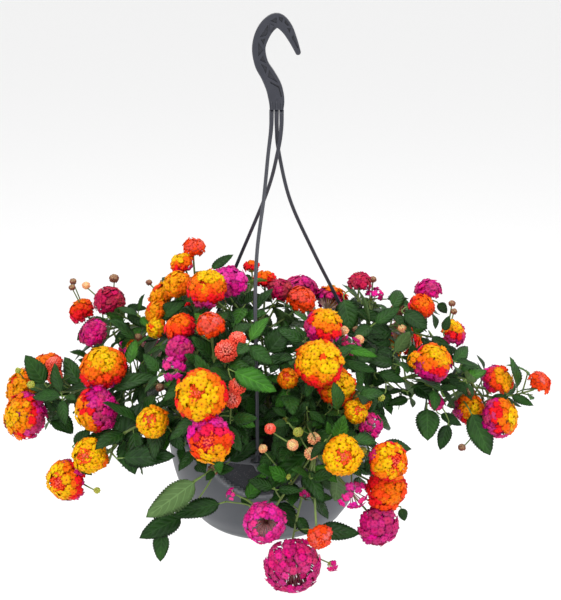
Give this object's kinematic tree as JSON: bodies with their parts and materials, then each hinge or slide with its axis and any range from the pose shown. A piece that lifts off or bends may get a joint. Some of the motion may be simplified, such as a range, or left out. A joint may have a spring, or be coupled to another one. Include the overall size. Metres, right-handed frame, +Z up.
{
  "type": "lantana hanging basket",
  "caption": "Flowering lantana in a charcoal plastic hanging bowl with a moulded hook and three-strand hanger.",
  "frame": {"origin": "centre of the pot's flat base", "axes": "+Z up, -Y towards the front strand and the camera"},
  "size_m": [0.6531, 0.4519, 0.6067],
  "materials": {
    "pot_plastic": "satin moulded charcoal grey",
    "hanger_plastic": "satin moulded charcoal, nearly black",
    "soil": "loose dark potting soil",
    "leaf": "matt green leaf, rough above and paler below",
    "magenta": "soft petals, magenta",
    "crimson": "soft petals, crimson",
    "orange": "soft petals, orange with red",
    "yellow": "soft petals, golden yellow with red",
    "coral": "soft buds, coral",
    "tan": "dried head, tan"
  },
  "bodies": {
    "root": {"bud_low_left": "tan", "buds_centre": "coral", "buds_front_left": "coral", "buds_left": "coral", "buds_rim": "coral", "hanger_hook": "hanger_plastic", "head_centre_left": "coral", "head_centre_right": "orange", "head_centre_small": "orange", "head_front_low": "yellow", "head_left_behind": "magenta", "head_left_far": "orange", "head_left_front": "yellow", "head_left_top": "magenta", "head_low_centre": "magenta", "head_low_small": "coral", "head_lowest": "magenta", "head_right_above": "orange", "head_right_end": "coral", "head_right_inner": "magenta", "head_right_middle": "orange", "head_right_out": "orange", "head_right_small": "magenta", "heads_back_left": "yellow", "heads_back_low": "orange", "heads_back_low_left": "magenta", "heads_back_low_right": "orange", "heads_back_right": "magenta", "heads_behind_top": "crimson", "heads_column": "magenta", "heads_front_left": "yellow", "heads_front_right": "yellow", "heads_left_end": "orange", "heads_left_low": "yellow", "heads_left_of_top": "orange", "heads_left_pair": "yellow", "heads_low_right": "orange", "heads_right_high": "crimson", "heads_right_low": "orange", "heads_rim_right": "magenta", "heads_top": "magenta", "heads_top_left": "orange", "heads_top_right": "crimson", "pot": "pot_plastic", "soil": "soil", "stem_back_left": "leaf", "stem_back_right": "leaf", "stem_front_left": "leaf", "stem_front_right": "leaf", "stem_left": "leaf", "stem_left_high": "leaf", "stem_left_low": "leaf", "stem_low_front": "leaf", "stem_right": "leaf", "stem_right_high": "leaf", "stem_top": "leaf", "stem_top_left": "leaf", "strand_front": "hanger_plastic", "strand_left": "hanger_plastic", "strand_right": "hanger_plastic"}
  },
  "joints": []
}
